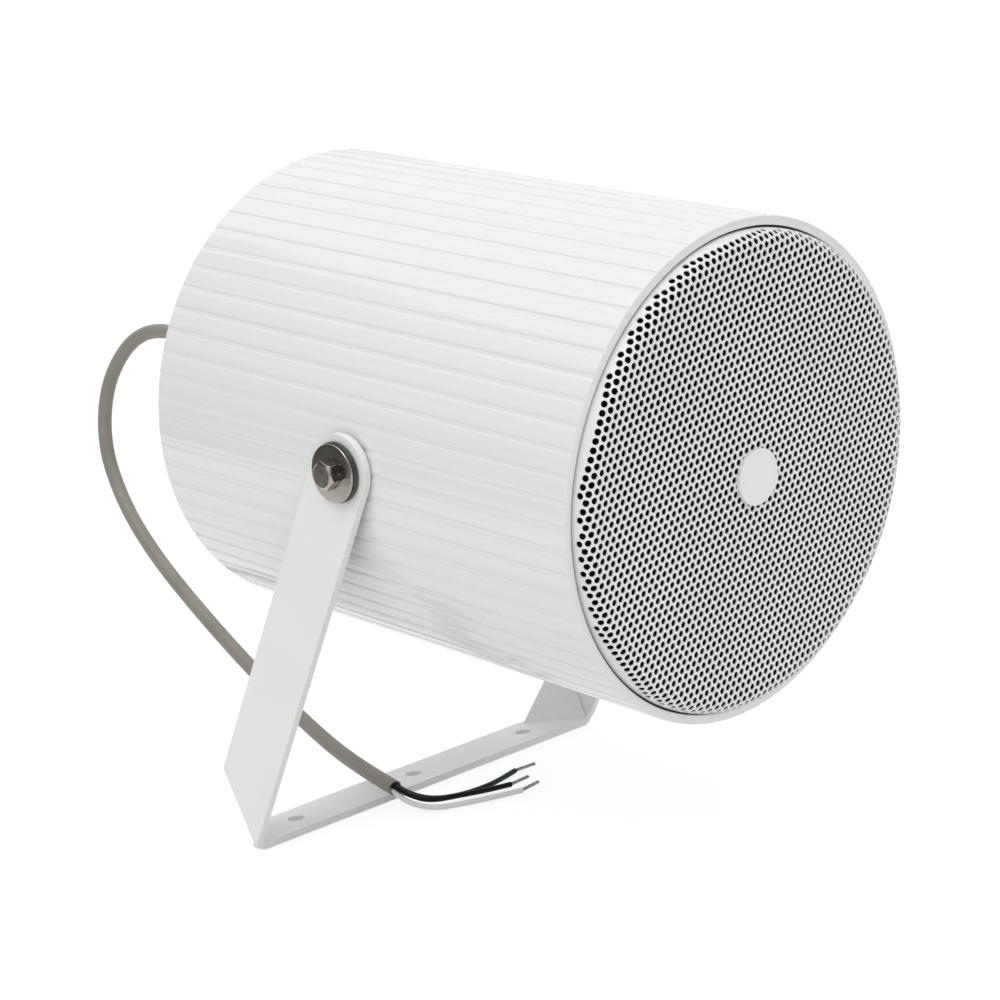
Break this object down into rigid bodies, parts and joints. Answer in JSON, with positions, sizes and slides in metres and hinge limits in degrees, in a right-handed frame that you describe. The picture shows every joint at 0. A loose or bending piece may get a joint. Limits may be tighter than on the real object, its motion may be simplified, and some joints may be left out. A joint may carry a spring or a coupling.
{
  "type": "projection speaker",
  "caption": "Ribbed white tube loudspeaker with a perforated round grille, tilting on pivot bolts in a slanted U-bracket, with a short free cable.",
  "frame": {"origin": "centre of the middle fixing hole, on the underside of the bracket base", "axes": "+Z out of the base towards the pivot, -Y to the front of the speaker, +X along the pivot axis"},
  "size_m": [0.2098, 0.3974, 0.2638],
  "materials": {
    "tube_paint": "white gloss paint on extruded aluminium",
    "cover_paint": "white satin paint on aluminium sheet",
    "bracket_coat": "light grey-white satin powder coat",
    "grille_coat": "light grey-white satin powder coat",
    "badge_plastic": "white moulded plastic",
    "stainless": "plain stainless",
    "plated_steel": "zinc plated",
    "black_rubber": "matt",
    "black_plastic": "moulded, matt",
    "gland_plastic": "moulded, pale grey",
    "frame_paint": "black paint on pressed steel",
    "cone_paper": "pressed paper",
    "cloth": "open weave",
    "ferrite": "sintered, matt",
    "copper": "enamelled copper winding",
    "lamination": "stacked sheets",
    "cable_grey": "extruded, matt",
    "core_green": "extruded",
    "core_black": "extruded",
    "core_white": "extruded",
    "tinned": "tinned strands"
  },
  "bodies": {
    "bracket": {"u_bracket": "bracket_coat", "conductor_green": "core_green", "conductor_black": "core_black", "conductor_white": "core_white", "bare_wire_ends": "tinned"},
    "speaker": {"baffle_ring": "black_plastic", "cable_jacket": "cable_grey", "driver_frame": "frame_paint", "driver_screws": "plated_steel", "driver_surround": "black_rubber", "flat_washer_left": "stainless", "flat_washer_right": "stainless", "gland_body": "gland_plastic", "gland_cap": "gland_plastic", "gland_nut": "gland_plastic", "gland_seal": "black_rubber", "grille": "grille_coat", "grille_badge": "badge_plastic", "grille_cloth": "cloth", "housing_tube": "tube_paint", "magnet_ring": "ferrite", "pivot_bolt_left": "stainless", "pivot_bolt_right": "stainless", "pivot_nut_left": "plated_steel", "pivot_nut_right": "plated_steel", "rear_cover": "cover_paint", "rear_gasket": "black_rubber", "rear_screws": "stainless", "rubber_washer_left": "black_rubber", "rubber_washer_right": "black_rubber", "spacer_pad_left": "black_rubber", "spacer_pad_right": "black_rubber", "spider": "cloth", "top_plate": "plated_steel", "transformer_coil": "copper", "transformer_core": "lamination", "transformer_screws": "plated_steel", "transformer_strap": "plated_steel", "yoke": "plated_steel"},
    "cone": {"driver_cone": "cone_paper", "dust_cap": "cone_paper", "voice_coil": "copper"}
  },
  "joints": [
    {"name": "tilt", "type": "hinge", "parent": "bracket", "child": "speaker", "pos_m": [0, -0.09197, 0.156], "axis": [1, 0, 0], "range_deg": [-80, 81], "deforming": ["cable_jacket"]},
    {"name": "cone_travel", "type": "slide", "parent": "speaker", "child": "cone", "axis": [0, -0.9888, -0.1495], "range_m": [-0.003, 0.003], "stiffness_N_per_m": 1500, "deforming": ["driver_surround", "spider"]}
  ]
}
